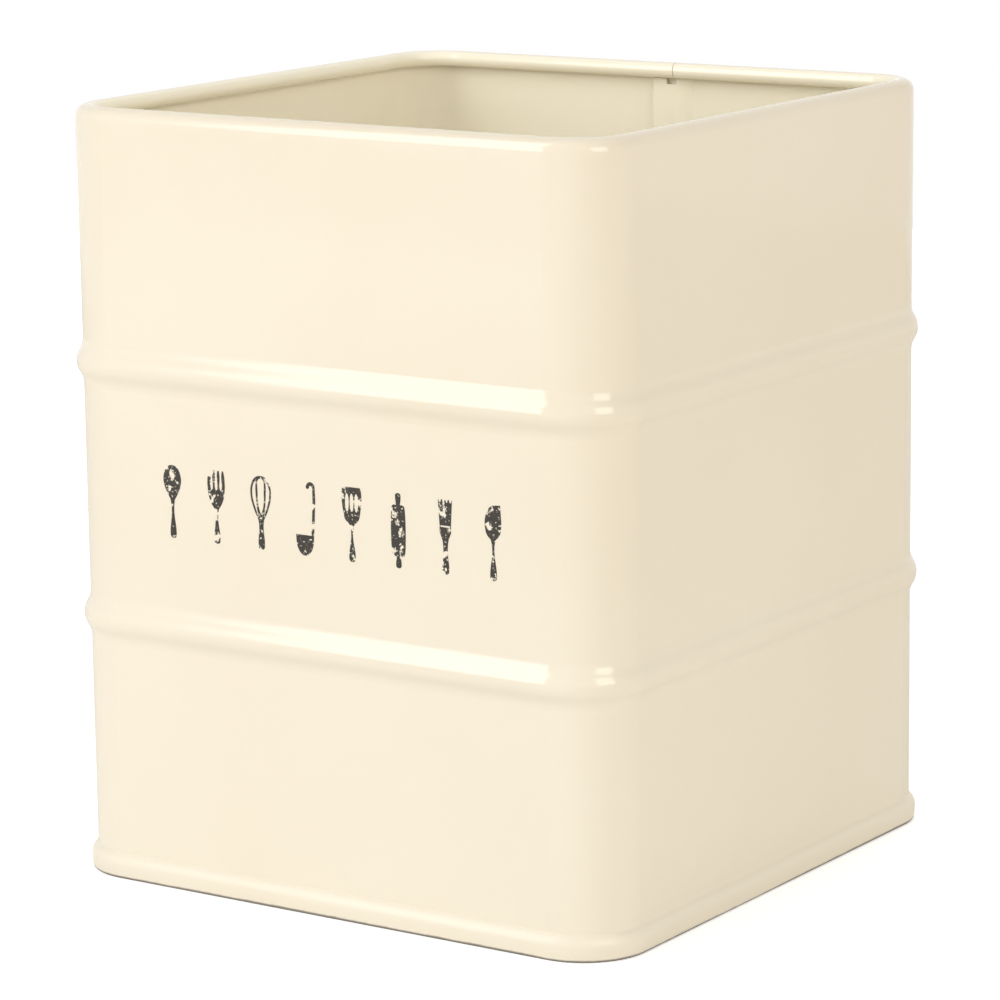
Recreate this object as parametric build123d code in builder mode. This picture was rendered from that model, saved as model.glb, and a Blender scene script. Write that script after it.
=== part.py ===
from build123d import *
from math import atan, cos, degrees, radians, sin
import os

# Square utensil holder of folded sheet steel, in millimetres.
# The origin is at the middle of the footprint, on the table. +Z is up, the front faces -Y
# and the side seam is at the middle of the rear wall, +Y.
# Sections are drawn on the rear wall: a sketch's x is the distance out of the wall's outer
# face, and its y is the height above the table. A bend radius is the inside one. Where the
# sheet is folded flat round another layer, the fold is sharp inside and rounded outside.

# Box
height = 149.5
width = 123.0
corner_radius = 12.0
sheet = 0.3
lap_gap = 0.05

# Rounded beads pressed outward, all round
lower_bead_height = 51.0
upper_bead_height = 100.4
bead_width = 8.8
bead_depth = 1.3

# Hollow rolled rim: a wide quarter turn over the top, then a tighter roll down the inside
rim_shoulder_bend = 2.1
rim_roll_bend = 1.3
rim_roll_angle = 210

# Base seam: the pan's edge folded round the hook at the wall's lower edge
chime_height = 4.2
chime_fold_bend = 0.1
chime_crown_angle = 12
hook_end_gap = 0.6
cover_hook_gap = 0.2

# Base pan, recessed above the table
pan_recess = 4.8
pan_bend = 1.0
pan_border = 6.0

# Lock seam: four layers between two folds, with a jog beside them back to the wall's face
seam_width = 6.0
seam_jog_start = 0.2
seam_jog_run = 3.0
seam_hook_gap = 0.1
seam_margin = 1.0
seam_foot_gap = 0.5
seam_head_gap = 0.25
seam_end_lap = 0.3

# Where the two ends of the sheet meet edge to edge, above and below the lock seam
butt_place = 3.3
butt_gap = 0.15

# Relief notch in the inner layers of the lock seam, close under the rim
notch_place = 1.5
notch_width = 2.3
notch_height = 1.1

# Folds of the sheet: the room inside one takes a layer with a gap on each side
layer_pitch = sheet + lap_gap
three_layers = 3 * layer_pitch
fold_room = sheet + 2 * lap_gap

# Rim
rim_shoulder_radius = rim_shoulder_bend + sheet
rim_roll_radius = rim_roll_bend + sheet
rim_turn_height = height - rim_shoulder_radius
lip_height = height - 2 * rim_roll_radius

# Base seam, from the wall outwards: cover hook, wall's hook, then the crowned outer layer.
# The pan's two lower bends follow the rounded corners of the wall's hook.
skirt_face = -sheet - layer_pitch
foot_radius = 2 * sheet
top_fold_radius = chime_fold_bend + sheet
crown_turn = radians(chime_crown_angle)
shoulder_radius = (three_layers - lap_gap - top_fold_radius) / cos(crown_turn)
crown_start = foot_radius * (1 - sin(crown_turn))
crown_end = chime_height - shoulder_radius * (1 - sin(crown_turn))
crown_radius = (crown_end - crown_start) / 2 / sin(crown_turn)
hook_fold_height = sheet + layer_pitch
hook_end_height = chime_height - hook_end_gap

# Lock seam
seam_foot = pan_recess + sheet + seam_foot_gap
seam_head = lip_height - seam_head_gap
seam_fold_place = seam_width / 2 - sheet
seam_hook_reach = seam_fold_place - seam_hook_gap
seam_left = -seam_width / 2 - seam_margin
seam_jog_foot = seam_fold_place + seam_jog_start
seam_jog_head = seam_jog_foot + seam_jog_run
seam_right = seam_jog_head + seam_margin

# Drawing plane of the rear wall's outer face: x is out of the wall and y is up
rear_wall = Plane(origin=(0, width / 2, 0), x_dir=(0, 1, 0), z_dir=(1, 0, 0))

os.makedirs("parts", exist_ok=True)


def ogee(start, heading, run, rise):
    """Two equal tangent arcs that shift a line sideways by rise over run, left if positive."""
    turn = 2 * atan(rise / run)
    radius = run / 2 / sin(abs(turn))
    first = JernArc(start, heading, radius, degrees(turn))
    return JernArc(first @ 1, first % 1, radius, -degrees(turn))


def beaded_face(foot, head):
    """The wall's outer face from one height to another, out over both beads."""
    with BuildLine() as face:
        end = (0, foot)
        for bead_height in (lower_bead_height, upper_bead_height):
            start = (0, bead_height - bead_width / 2)
            Line(end, start)
            out = ogee(start, (0, 1), bead_width / 2, -bead_depth)
            back = ogee(out @ 1, (0, 1), bead_width / 2, bead_depth)
            end = back @ 1
        Line(end, (0, head))
    return face.line


def cut_rear_window(left, right, foot, head):
    """Cut the rear wall away between two places and two heights."""
    with Locations(((left + right) / 2, width / 2, (foot + head) / 2)):
        Box(right - left, 2 * three_layers + 2 * bead_depth, head - foot, mode=Mode.SUBTRACT)


# The wall: one sheet, from the hook at its lower edge to the lip of the rolled rim
with BuildPart() as body_wall:
    butt_start = butt_place + butt_gap / 2
    with BuildLine() as round_the_box:
        FilletPolyline(
            (butt_start, width / 2),
            (width / 2, width / 2),
            (width / 2, -width / 2),
            (-width / 2, -width / 2),
            (-width / 2, width / 2),
            (butt_start - butt_gap, width / 2),
            radius=corner_radius,
        )
    with BuildSketch(rear_wall.offset(butt_start)):
        with BuildLine():
            Polyline(
                (fold_room, hook_end_height), (fold_room, hook_fold_height), (0, hook_fold_height)
            )
            add(beaded_face(hook_fold_height, rim_turn_height))
            shoulder = JernArc((0, rim_turn_height), (0, 1), rim_shoulder_radius, 90)
            JernArc(shoulder @ 1, (-1, 0), rim_roll_radius, rim_roll_angle)
            offset(amount=sheet, side=Side.LEFT)
        make_face()
    sweep(path=round_the_box.wires()[0])

    # The lock seam closes a window. The flat sheet laps the jogged sheet at both ends of it.
    cut_rear_window(seam_left, butt_start, seam_foot, seam_head)
    cut_rear_window(butt_start, seam_right, seam_foot + seam_end_lap, seam_head - seam_end_lap)

    # The lock seam in plan: each end of the sheet folds back round the other's hook
    with BuildSketch(Plane(origin=(0, width / 2, seam_foot))):
        with BuildLine():
            Polyline(
                (seam_left, -sheet),
                (seam_fold_place, -sheet),
                (seam_fold_place, -sheet - fold_room),
                (-seam_hook_reach, -sheet - fold_room),
            )
            offset(amount=sheet, side=Side.LEFT)
        make_face()
        with BuildLine():
            Polyline(
                (seam_right, 0),
                (seam_jog_head, 0),
                (seam_jog_foot, -three_layers),
                (-seam_fold_place, -three_layers),
                (-seam_fold_place, fold_room - three_layers),
                (seam_hook_reach, fold_room - three_layers),
            )
            offset(amount=sheet, side=Side.LEFT)
        make_face()
    up_the_wall = rear_wall * beaded_face(seam_foot, seam_head)
    sweep(path=Wire(up_the_wall.edges()))

    # The notch goes through the seam's three inner layers
    with Locations((notch_place, width / 2 - sheet - lap_gap / 2, seam_head + lap_gap)):
        Box(
            notch_width,
            three_layers,
            notch_height + lap_gap,
            align=(Align.CENTER, Align.MAX, Align.MAX),
            mode=Mode.SUBTRACT,
        )

body_wall.part.label = "body_wall"
export_step(body_wall.part, "parts/body_wall.step")


# The base pan: its edge goes down inside the wall, under the wall's hook, up outside it
# and down again between the hook and the wall
with BuildPart() as base_pan:
    with BuildLine() as half_way_round:
        FilletPolyline(
            (0, width / 2),
            (width / 2, width / 2),
            (width / 2, -width / 2),
            (0, -width / 2),
            radius=corner_radius,
        )
    with BuildSketch(rear_wall):
        with BuildLine():
            border = Line((-pan_border, pan_recess), (skirt_face - pan_bend, pan_recess))
            edge = JernArc(border @ 1, (1, 0), pan_bend, -90)
            skirt = Line(edge @ 1, (skirt_face, foot_radius))
            heel = JernArc(skirt @ 1, (0, -1), foot_radius, 90)
            foot = Line(heel @ 1, (three_layers - foot_radius * cos(crown_turn), 0))
            toe = JernArc(foot @ 1, (1, 0), foot_radius, 90 - chime_crown_angle)
            crown = JernArc(toe @ 1, toe % 1, crown_radius, 2 * chime_crown_angle)
            shoulder = JernArc(crown @ 1, crown % 1, shoulder_radius, 90 - chime_crown_angle)
            top_fold = JernArc(shoulder @ 1, (-1, 0), top_fold_radius, 90)
            Line(top_fold @ 1, (lap_gap, hook_fold_height + cover_hook_gap))
            offset(amount=sheet, side=Side.LEFT)
        make_face()
    sweep(path=half_way_round.wires()[0])
    mirror(about=Plane.YZ)

    # The flat middle of the pan
    with BuildSketch(Plane.XY.offset(pan_recess)):
        floor_width = width - 2 * pan_border
        RectangleRounded(floor_width, floor_width, corner_radius - pan_border)
    extrude(amount=sheet)

base_pan.part.label = "base_pan"
export_step(base_pan.part, "parts/base_pan.step")
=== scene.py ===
import math

import bmesh
import bpy
from mathutils import Matrix, Quaternion, Vector


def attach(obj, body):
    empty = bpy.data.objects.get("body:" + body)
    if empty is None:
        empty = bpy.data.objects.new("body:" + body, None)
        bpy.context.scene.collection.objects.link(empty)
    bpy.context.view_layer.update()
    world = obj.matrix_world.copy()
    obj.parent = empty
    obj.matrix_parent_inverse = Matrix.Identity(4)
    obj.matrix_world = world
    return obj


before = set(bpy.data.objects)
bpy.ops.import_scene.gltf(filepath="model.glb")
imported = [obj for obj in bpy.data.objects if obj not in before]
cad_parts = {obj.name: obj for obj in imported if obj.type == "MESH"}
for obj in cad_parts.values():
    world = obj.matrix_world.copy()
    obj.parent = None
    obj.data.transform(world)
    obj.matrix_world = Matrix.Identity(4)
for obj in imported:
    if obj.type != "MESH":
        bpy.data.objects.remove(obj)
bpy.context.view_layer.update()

MM = 0.001

# The holder: the outer face of its front wall, the lines that its upright corners turn about,
# this far from the middle both ways, and the point that the camera and the lamps aim at
FRONT_FACE = -61.5 * MM
CORNER_CENTRE = 49.5 * MM
MIDDLE = Vector((0, 0, 75 * MM))

# Points of a new piece that are nearer than this are one point
MERGED = 0.001 * MM

# The row of printed drawings on the front wall, and the layer of ink
PRINT_FOOT = 69 * MM
PRINT_FIRST = -34.4 * MM
PRINT_PITCH = 10.4 * MM
INK_PROUD = 0.03 * MM
INK_SUNK = 0.02 * MM

# The coat over the base seam in section, as millimetres out of the wall and above the table:
# where it leaves the wall, then each bend's radius, turn in degrees and number of steps, down
# to the foot, then the points of the way back up inside the folded sheet
COAT_START = (-0.02, 5.13)
COAT_BENDS = ((-0.25, 56.6, 4), (2.6, 56.6, 12), (13.4, 9.8, 3), (0.63, 56, 6))
COAT_BACK = ((0.85, 0.35), (1.05, 1.2), (1.05, 3.0), (0.85, 3.85), (0.45, 4.05), (-0.1, 4.05))
COAT_CORNER_STEPS = 24

# Colours are linear
CREAM_LIGHT = (0.882, 0.812, 0.672)
CREAM_DEEP = (0.842, 0.75, 0.596)
# Painted light: the lighter cream of the inside surfaces stands in for light that the lamps don't
# bring into the holder
CREAM_INSIDE_PAINTED_LIGHT = (0.985, 0.93, 0.77)
# Painted shadow: the dark colour along the foot edge, where the holder meets the table
PAINTED_CONTACT_SHADOW = (0.26, 0.23, 0.19)
INK_DARK = (0.014, 0.01, 0.006)
INK_THIN = (0.034, 0.026, 0.016)
TABLE_WHITE = (0.92, 0.92, 0.92)
WHITE = (1.0, 1.0, 1.0)
WARM_WHITE = (1.0, 0.94, 0.83)

# Enamel tone: how much of the lightness drifts at random, and how much painted bounce light from
# the table lightens the foot, which is gone at the fade's height
DRIFT_SHARE = 0.4
PAINTED_BOUNCE_SHARE = 0.6
PAINTED_BOUNCE_FADE = 150 * MM

# Enamel gloss, as roughness: the cleanest, what smears add, what the coat over the base seam
# adds, what rubbing adds, and what ink adds
CLEAN_GLOSS = 0.075
SMEAR_DULLING = 0.08
SEAM_DULLING = 0.22
RUB_DULLING = 0.35
INK_DULLING = 0.25

# Enamel surface, each wave a noise scale, its detail and its depth: the sheet under it, the
# orange peel of the spray, and fine grain
SURFACE_WAVES = ((11, 1, 0.25 * MM), (520, 2, 0.006 * MM), (2600, 1, 0.0012 * MM))

# The foot edge, with a painted contact shadow and scuffed, duller enamel: the heights where it
# begins to fade and is gone, and the waves that make its edge uneven
SHADOW_AND_SCUFF_FADE = (0.8 * MM, 1.06 * MM)
SHADOW_AND_SCUFF_WAVES = ((260, 3, 0.3 * MM), (22, 1, 0.5 * MM))

# The camera, fitted to the holder's corners in the photograph: angles in degrees, then how far
# it is from the middle, moved to its left and moved down, in metres, and the lens in millimetres
CAMERA_AZIMUTH = 33.95
CAMERA_ELEVATION = 11.64
CAMERA_ROLL = -0.72
CAMERA_DISTANCE = 0.839
CAMERA_LEFT = 1.11 * MM
CAMERA_DOWN = 5.95 * MM
CAMERA_LENS = 154.15
CAMERA_SENSOR = 36
CAMERA_NEAR = 0.01

# Light on the object from the white world, where 1 is white
WORLD_LEVEL = 0.4

# The table: half its width, how much lighter the camera sees it near the holder and far from
# it, and the distances where that changes
TABLE_REACH = 0.8
TABLE_LIFT = (0.42, 1.0)
TABLE_FADE = (0.15, 0.6)


# ---------------------------------------------------------------- node writing


class Signal:
    """A socket of a node tree that can be written into sums, differences and products."""

    def __init__(self, graph, socket):
        self.graph = graph
        self.socket = socket

    def __add__(self, other):
        return self.graph.math("ADD", self, other)

    __radd__ = __add__

    def __rsub__(self, other):
        return self.graph.math("SUBTRACT", other, self)

    def __mul__(self, other):
        return self.graph.math("MULTIPLY", self, other)

    __rmul__ = __mul__


class Graph:
    """The emptied node tree of a material or of the world."""

    def __init__(self, owner):
        owner.use_nodes = True
        self.tree = owner.node_tree
        self.tree.nodes.clear()

    def node(self, kind, settings=None, sockets=None, output=0):
        """A node with its settings, such as a ramp's two stops, and its values and links."""
        made = self.tree.nodes.new("ShaderNode" + kind)
        for name, value in (settings or {}).items():
            if name == "stops":
                for stop, (position, level) in zip(made.color_ramp.elements, value):
                    stop.position = position
                    stop.color = (level, level, level, 1)
            else:
                setattr(made, name, value)
        for name, value in (sockets or {}).items():
            socket = made.inputs[name]
            if isinstance(value, Signal):
                self.tree.links.new(value.socket, socket)
            elif socket.type == "RGBA":
                socket.default_value = (*value, 1)
            else:
                socket.default_value = value
        return Signal(self, made.outputs[output])

    def math(self, operation, first, second, clamped=False):
        settings = {"operation": operation, "use_clamp": clamped}
        return self.node("Math", settings, {0: first, 1: second})

    def noise(self, place, scale, detail, roughness=0.5):
        inputs = {"Vector": place, "Scale": scale, "Detail": detail, "Roughness": roughness}
        return self.node("TexNoise", None, inputs, "Fac")

    def height(self, place):
        return self.node("SeparateXYZ", None, {"Vector": place}, "Z")

    def ramp(self, value, *stops):
        return self.node("ValToRGB", {"stops": stops}, {"Fac": value})

    def fade(self, value, between, levels):
        """The first level at one end of a range of values, and the second at the other."""
        inputs = {0: value, 1: between[0], 2: between[1], 3: levels[0], 4: levels[1]}
        return self.node("MapRange", None, inputs)

    def blend(self, factor, first, second):
        """Colours are mixed by the Mix node, whose colour sockets are 6 and 7."""
        return self.node("Mix", {"data_type": "RGBA"}, {0: factor, 6: first, 7: second}, 2)

    def bump(self, height, distance, normal=None):
        inputs = {"Height": height, "Distance": distance}
        if normal:
            inputs["Normal"] = normal
        return self.node("Bump", None, inputs)

    def show(self, shader, kind="OutputMaterial"):
        end = self.tree.nodes.new("ShaderNode" + kind)
        self.tree.links.new(shader.socket, end.inputs[0])


# ---------------------------------------------------------------- finishes


def faces_inwards(graph, place):
    """1 on surfaces turned to the upright middle line of the holder, 0 on its outside."""
    flat_place = graph.node("VectorMath", {"operation": "MULTIPLY"}, {0: place, 1: (1, 1, 0)})
    normal = graph.node("NewGeometry", output="Normal")
    outwards = graph.node("VectorMath", {"operation": "DOT_PRODUCT"}, {0: normal, 1: flat_place}, 1)
    return graph.fade(outwards, (0, -30 * MM), (0, 1))


def cream_enamel(graph, place):
    """The tone, gloss and surface of the sprayed enamel, for any material that shows it. The tone
    carries painted light: lighter on the inside and toward the foot.
    """
    drift = graph.ramp(graph.noise(place, scale=17, detail=3), (0.3, 0), (0.7, 1))
    # Painted light: the walls are made lighter toward the foot, for light bounced up from the table
    foot = graph.fade(graph.height(place), (0, PAINTED_BOUNCE_FADE), (PAINTED_BOUNCE_SHARE, 0))
    outside = graph.blend(DRIFT_SHARE * drift + foot, CREAM_DEEP, CREAM_LIGHT)
    # Painted light: surfaces turned inwards get the lighter inside cream, for light the lamps don't
    # bring in
    tone = graph.blend(faces_inwards(graph, place), outside, CREAM_INSIDE_PAINTED_LIGHT)
    smears = graph.noise(place, scale=60, detail=4, roughness=0.6)
    surface = None
    for scale, detail, depth in SURFACE_WAVES:
        surface = graph.bump(graph.noise(place, scale, detail), depth, surface)
    return tone, CLEAN_GLOSS + SMEAR_DULLING * smears, surface


def contact_shadow_and_scuff(graph, place):
    """1 along the edge that rests on the table, where a contact shadow is painted dark and the
    enamel is scuffed dull.
    """
    uneven = graph.height(place)
    for scale, detail, reach in SHADOW_AND_SCUFF_WAVES:
        uneven = uneven + reach * graph.noise(place, scale, detail)
    return graph.fade(uneven, SHADOW_AND_SCUFF_FADE, (1, 0))


def enamel_material(name, dulled=0):
    material = bpy.data.materials.new(name)
    graph = Graph(material)
    place = graph.node("TexCoord", output="Object")
    tone, gloss, surface = cream_enamel(graph, place)
    # A painted contact shadow darkens the foot edge; the same band is scuffed duller
    shadow_and_scuff = contact_shadow_and_scuff(graph, place)
    shader = graph.node(
        "BsdfPrincipled",
        None,
        {
            "Base Color": graph.blend(shadow_and_scuff, tone, PAINTED_CONTACT_SHADOW),
            "Roughness": gloss + dulled + RUB_DULLING * shadow_and_scuff,
            "Normal": surface,
        },
    )
    graph.show(shader)
    return material


def ink_material(name):
    """Dark print, worn through to the enamel in small flakes and streaks."""
    material = bpy.data.materials.new(name)
    graph = Graph(material)
    place = graph.node("TexCoord", output="Object")
    tone, gloss, surface = cream_enamel(graph, place)
    chipping = graph.noise(place, scale=420, detail=5, roughness=0.62)
    flakes = graph.ramp(chipping, (0.565, 0), (0.6, 1))
    pinholes = graph.ramp(graph.noise(place, scale=2100, detail=2), (0.63, 0), (0.68, 1))
    worn = graph.math("MAXIMUM", flakes, pinholes)
    ink = graph.blend(graph.noise(place, scale=900, detail=3), INK_DARK, INK_THIN)
    shader = graph.node(
        "BsdfPrincipled",
        None,
        {
            "Base Color": graph.blend(worn, ink, tone),
            "Roughness": gloss + INK_DULLING * (1 - worn),
            "Normal": surface,
        },
    )
    graph.show(shader)
    return material


# ---------------------------------------------------------------- making pieces


def only(geometry, kind):
    """The points, edges or faces among the parts that a bmesh operator gives back."""
    return [part for part in geometry if isinstance(part, kind)]


def finished(shape, name):
    """A bmesh made an object of the scene."""
    mesh = bpy.data.meshes.new(name)
    shape.to_mesh(mesh)
    shape.free()
    made = bpy.data.objects.new(name, mesh)
    bpy.context.scene.collection.objects.link(made)
    return made


# ---------------------------------------------------------------- printed kitchen tools

# Each drawing is in millimetres, 14 tall, upright over its middle, with its foot at 0


def outline(curve, points):
    """A closed smooth line through points in millimetres. One marked "corner" stays sharp."""
    line = curve.splines.new("BEZIER")
    line.use_cyclic_u = True
    line.resolution_u = 6
    line.bezier_points.add(len(points) - 1)
    for knot, (x, z, *corner) in zip(line.bezier_points, points):
        knot.co = (x * MM, z * MM, 0)
        knot.handle_left_type = knot.handle_right_type = "VECTOR" if corner else "AUTO"


def both_sides(half):
    """The right half of an outline, from foot to top, with its mirrored left half."""
    return half + [(-x, *rest) for x, *rest in reversed(half) if x]


def slot_hole(curve, middle, low, high, reach):
    """An upright slot cut out of a drawing."""
    right = [(reach, low + reach), (reach, high - reach)]
    whole = both_sides([(0, low), *right, (0, high)])
    outline(curve, [(x + middle, z) for x, z in whole])


HANDLE = [(0, 0), (0.55, 0.2), (0.72, 0.9)]


def spoon(curve):
    bowl = [(0.46, 7.2), (1.15, 8.4), (2.0, 10.4), (1.95, 12.2), (1.15, 13.6), (0, 14)]
    outline(curve, both_sides(HANDLE + bowl))


def fork(curve):
    neck = [(0.45, 6.4), (1.25, 7.7), (1.85, 9.4)]
    outer_tine = [(1.85, 13.4), (1.58, 14), (1.32, 13.4), (1.3, 10.6), (1.06, 10.2)]
    inner_tine = [(0.82, 10.6), (0.8, 13.4), (0.53, 14), (0.27, 13.4), (0.26, 10.6), (0, 10.2)]
    outline(curve, both_sides(HANDLE + neck + outer_tine + inner_tine))


def whisk(curve):
    balloon = [(0.6, 5.4), (1.5, 7.3), (2.35, 10.2), (2.15, 12.3), (1.3, 13.6), (0, 14)]
    outline(curve, both_sides(HANDLE + balloon))
    outline(curve, both_sides([(0, 6.6, "corner"), (0.55, 8.2), (0.72, 10.4), (0, 13.5)]))
    for side in (1, -1):
        gap = [(0.7, 6.5, "corner"), (1.3, 7.9), (1.95, 10.3), (1.75, 12.2), (1.05, 13.2, "corner")]
        back = [(1.2, 11.8), (1.14, 10.2), (1.0, 8.4)]
        outline(curve, [(side * x, *rest) for x, *rest in gap + back])


def ladle(curve):
    bowl = [(-2.4, 3.9, "corner"), (-2.1, 1.6), (-1.4, 0.45), (-0.4, 0), (0.7, 0.5), (1.4, 1.6)]
    shaft = [(1.75, 4.2), (2.0, 8), (2.1, 12.4), (1.85, 13.6), (1.05, 14), (0.3, 13.6)]
    hook = [(0.12, 12.8), (0.6, 12.7), (1.0, 13.3), (1.45, 13.1), (1.52, 12.2), (1.4, 8)]
    outline(curve, bowl + shaft + hook + [(1.15, 3.9, "corner")])


def turner(curve):
    blade = [(0.45, 6.8), (1.5, 7.9), (1.85, 9), (2.15, 13.4), (1.9, 14, "corner")]
    outline(curve, both_sides(HANDLE + blade))
    for middle in (-1.05, 0, 1.05):
        slot_hole(curve, middle, 9.4, 12.8, 0.24)


def rolling_pin(curve):
    grip = [(0, 0), (0.5, 0.2), (0.6, 0.9), (0.42, 2.2, "corner")]
    barrel = [(1.2, 2.3), (1.45, 2.8), (1.45, 11.2), (1.2, 11.7)]
    other_grip = [(x, 14 - z, *corner) for x, z, *corner in reversed(grip)]
    outline(curve, both_sides(grip + barrel + other_grip))


def brush(curve):
    handle = [(0.5, 3.6), (0.6, 6), (1.25, 7.8, "corner"), (1.25, 9.2, "corner")]
    bristles = [(1.55, 13.9, "corner"), (1.1, 13.3), (0.75, 13.9), (0.35, 13.3), (0, 13.8)]
    outline(curve, both_sides(HANDLE + handle + bristles))
    slot_hole(curve, 0, 0.6, 1.3, 0.2)
    outline(curve, both_sides([(1.05, 8.75, "corner"), (1.05, 9.05, "corner")]))


def scraper(curve):
    blade = [(0.46, 7.4), (1.2, 8.2), (1.6, 9), (1.6, 14, "corner"), (-0.5, 13.6), (-1.5, 12.2)]
    back = [(-1.6, 9), (-1.2, 8.2), (-0.46, 7.4)]
    left_handle = [(-x, z) for x, z in reversed(HANDLE[1:])]
    outline(curve, HANDLE + blade + back + left_handle)


def printed_tool(name, draw, place):
    """A flat drawing, made a thin layer of ink on the front wall."""
    curve = bpy.data.curves.new(name, "CURVE")
    curve.dimensions = "2D"
    curve.fill_mode = "BOTH"
    draw(curve)
    drawing = bpy.data.objects.new(name + "_drawing", curve)
    bpy.context.scene.collection.objects.link(drawing)
    filled = drawing.evaluated_get(bpy.context.evaluated_depsgraph_get())
    flat = bpy.data.meshes.new_from_object(filled)
    bpy.data.objects.remove(drawing)

    ink = bmesh.new()
    ink.from_mesh(flat)
    bmesh.ops.remove_doubles(ink, verts=ink.verts, dist=MERGED)
    raised = bmesh.ops.extrude_face_region(ink, geom=ink.faces[:])["geom"]
    top = only(raised, bmesh.types.BMVert)
    bmesh.ops.translate(ink, verts=top, vec=(0, 0, INK_PROUD + INK_SUNK))
    upright = Matrix.Rotation(math.radians(90), 4, "X")
    bmesh.ops.transform(ink, matrix=upright, verts=ink.verts)
    bmesh.ops.translate(ink, verts=ink.verts, vec=(place, FRONT_FACE + INK_SUNK, PRINT_FOOT))
    bmesh.ops.recalc_face_normals(ink, faces=ink.faces)
    return finished(ink, name)


# ---------------------------------------------------------------- coat over the base seam


def coat_section(coat):
    """The closed section of the coat on the middle of the front wall."""

    def spot(out, height):
        return (0, FRONT_FACE - out * MM, height * MM)

    first = end = coat.verts.new(spot(*COAT_START))
    lean = 0
    for radius, turn, steps in COAT_BENDS:
        slope = math.radians(lean)
        centre = end.co + radius * MM * Vector((0, math.cos(slope), -math.sin(slope)))
        signed_turn = math.copysign(turn, radius)
        bend = bmesh.ops.spin(
            coat,
            geom=[end],
            cent=centre,
            axis=(1, 0, 0),
            angle=math.radians(signed_turn),
            steps=steps,
        )
        end = only(bend["geom_last"], bmesh.types.BMVert)[0]
        lean -= signed_turn
    for place in COAT_BACK:
        corner = coat.verts.new(spot(*place))
        coat.edges.new((end, corner))
        end = corner
    coat.edges.new((end, first))
    return coat.edges[:]


def seam_coat(name):
    """Enamel over the folded base seam, all round. It fills the corner between seam and wall."""
    coat = bmesh.new()

    def pull(edges, way):
        made = bmesh.ops.extrude_edge_only(coat, edges=edges)["geom"]
        bmesh.ops.translate(coat, verts=only(made, bmesh.types.BMVert), vec=way)
        return only(made, bmesh.types.BMEdge)

    side = pull(coat_section(coat), (CORNER_CENTRE, 0, 0))
    corner = bmesh.ops.spin(
        coat,
        geom=side,
        cent=(CORNER_CENTRE, -CORNER_CENTRE, 0),
        axis=(0, 0, 1),
        angle=math.radians(90),
        steps=COAT_CORNER_STEPS,
    )
    pull(only(corner["geom_last"], bmesh.types.BMEdge), (0, CORNER_CENTRE, 0))
    quarter = coat.verts[:] + coat.edges[:] + coat.faces[:]
    for turn in (90, 180, 270):
        copied = bmesh.ops.duplicate(coat, geom=quarter)["geom"]
        turned = Matrix.Rotation(math.radians(turn), 3, "Z")
        bmesh.ops.rotate(coat, verts=only(copied, bmesh.types.BMVert), matrix=turned)
    bmesh.ops.remove_doubles(coat, verts=coat.verts, dist=MERGED)
    bmesh.ops.recalc_face_normals(coat, faces=coat.faces)
    for face in coat.faces:
        face.smooth = True
    return finished(coat, name)


# ---------------------------------------------------------------- studio


def away(azimuth, elevation):
    """The direction out from the holder, in degrees. Azimuth 0 is straight in front of it."""
    turn, lift = math.radians(azimuth), math.radians(elevation)
    return Vector(
        (math.sin(turn) * math.cos(lift), -math.cos(turn) * math.cos(lift), math.sin(lift))
    )


def camera_at_the_photo():
    """The camera at the photograph's viewing angle."""
    turn, roll = math.radians(CAMERA_AZIMUTH), math.radians(CAMERA_ROLL)
    back = away(CAMERA_AZIMUTH, CAMERA_ELEVATION)
    level = Vector((math.cos(turn), math.sin(turn), 0))
    upright = back.cross(level)
    right = math.cos(roll) * level + math.sin(roll) * upright
    up = math.cos(roll) * upright - math.sin(roll) * level
    place = MIDDLE - CAMERA_LEFT * right - CAMERA_DOWN * up + CAMERA_DISTANCE * back
    data = bpy.data.cameras.new("camera")
    data.sensor_width = CAMERA_SENSOR
    data.lens = CAMERA_LENS
    data.clip_start = CAMERA_NEAR
    camera = bpy.data.objects.new("camera", data)
    turned = Matrix((right, up, back)).transposed().to_4x4()
    camera.matrix_world = Matrix.Translation(place) @ turned
    bpy.context.scene.collection.objects.link(camera)
    bpy.context.scene.camera = camera


def soft_box(name, direction, distance, size, radiance, tint=WHITE, roll=0):
    """A lamp panel that faces the middle of the holder. Its size is its width and height."""
    data = bpy.data.lights.new(name, "AREA")
    data.shape = "RECTANGLE"
    data.size, data.size_y = size
    data.energy = radiance * math.pi * size[0] * size[1]
    data.color = tint
    lamp = bpy.data.objects.new(name, data)
    lamp.location = MIDDLE + distance * direction
    facing = direction.to_track_quat("Z", "Y") @ Quaternion((0, 0, 1), math.radians(roll))
    lamp.rotation_euler = facing.to_euler()
    bpy.context.scene.collection.objects.link(lamp)
    return lamp


def diffuse_box(name, direction, **lamp):
    """A lamp panel too soft to show its outline in the gloss."""
    soft_box(name, direction, **lamp).visible_glossy = False


def white_studio(level):
    """White to the camera and in reflections, and plain soft light on everything."""
    world = bpy.data.worlds.new("studio")
    bpy.context.scene.world = world
    graph = Graph(world)
    seen = graph.node("LightPath", output="Is Camera Ray")
    mirrored = graph.node("LightPath", output="Is Glossy Ray")
    through = graph.node("LightPath", output="Is Transmission Ray")
    shown = graph.math("ADD", seen + mirrored, through, clamped=True)
    strength = level + (1 - level) * shown
    light = graph.node("Background", None, {"Color": WHITE, "Strength": strength})
    graph.show(light, "OutputWorld")


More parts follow.
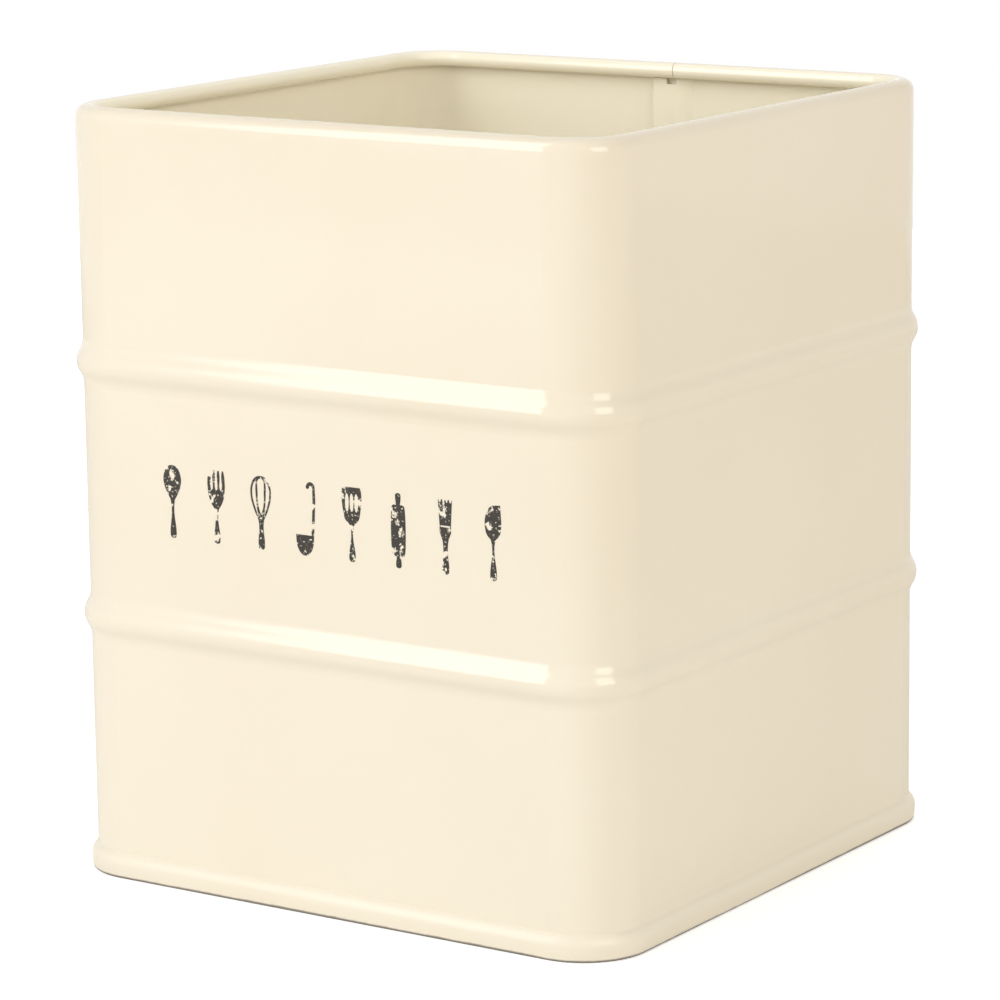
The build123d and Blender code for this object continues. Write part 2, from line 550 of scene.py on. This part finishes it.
def white_table():
    """A wide white table. The camera sees it a little lifted, with the holder's shadow on it."""
    top = bmesh.new()
    bmesh.ops.create_grid(top, x_segments=1, y_segments=1, size=TABLE_REACH)
    table = finished(top, "table")
    material = bpy.data.materials.new("white_table")
    graph = Graph(material)
    paint = graph.node("BsdfDiffuse", None, {"Color": TABLE_WHITE})
    place = graph.node("TexCoord", output="Object")
    reach = graph.node("VectorMath", {"operation": "LENGTH"}, {0: place}, 1)
    seen = graph.node("LightPath", output="Is Camera Ray")
    lift = graph.fade(reach, TABLE_FADE, TABLE_LIFT) * seen
    glow = graph.node("Emission", None, {"Color": WHITE, "Strength": lift})
    graph.show(graph.node("AddShader", None, {0: paint, 1: glow}))
    table.data.materials.append(material)


# ---------------------------------------------------------------- the studio, set up


bpy.context.scene.view_settings.view_transform = "Standard"
camera_at_the_photo()
white_studio(WORLD_LEVEL)
white_table()
soft_box("key_window", away(-31.5, 29), distance=0.9, size=(0.256, 1.06), radiance=4.1, roll=9.5)
soft_box(
    "side_window", away(69, 19), distance=1.0, size=(0.46, 0.53), radiance=4.0, tint=WARM_WHITE
)
diffuse_box("front_fill", away(-12, 12), distance=1.3, size=(1.0, 0.36), radiance=0.9)
diffuse_box("middle_fill", away(0, 27), distance=1.3, size=(1.0, 0.4), radiance=1.0)
diffuse_box(
    "right_fill", away(110, 14), distance=1.3, size=(1.0, 0.4), radiance=0.6, tint=WARM_WHITE
)
diffuse_box(
    "back_fill", away(202, 22), distance=1.3, size=(1.1, 0.5), radiance=4.0, tint=WARM_WHITE
)
diffuse_box(
    "mouth_fill", away(0, 89), distance=0.55, size=(0.2, 0.2), radiance=2.0, tint=WARM_WHITE
)


# ---------------------------------------------------------------- the holder


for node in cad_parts.values():
    node.data.materials.clear()
    node.data.materials.append(enamel_material(node.name + "_enamel"))

coat = seam_coat("seam_coat")
coat.data.materials.append(enamel_material("seam_enamel", SEAM_DULLING))
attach(coat, "root")

print_ink = ink_material("worn_print_ink")
tools = (spoon, fork, whisk, ladle, turner, rolling_pin, brush, scraper)
for number, draw in enumerate(tools):
    piece = printed_tool("print_" + draw.__name__, draw, PRINT_FIRST + number * PRINT_PITCH)
    piece.data.materials.append(print_ink)
    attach(piece, "root")
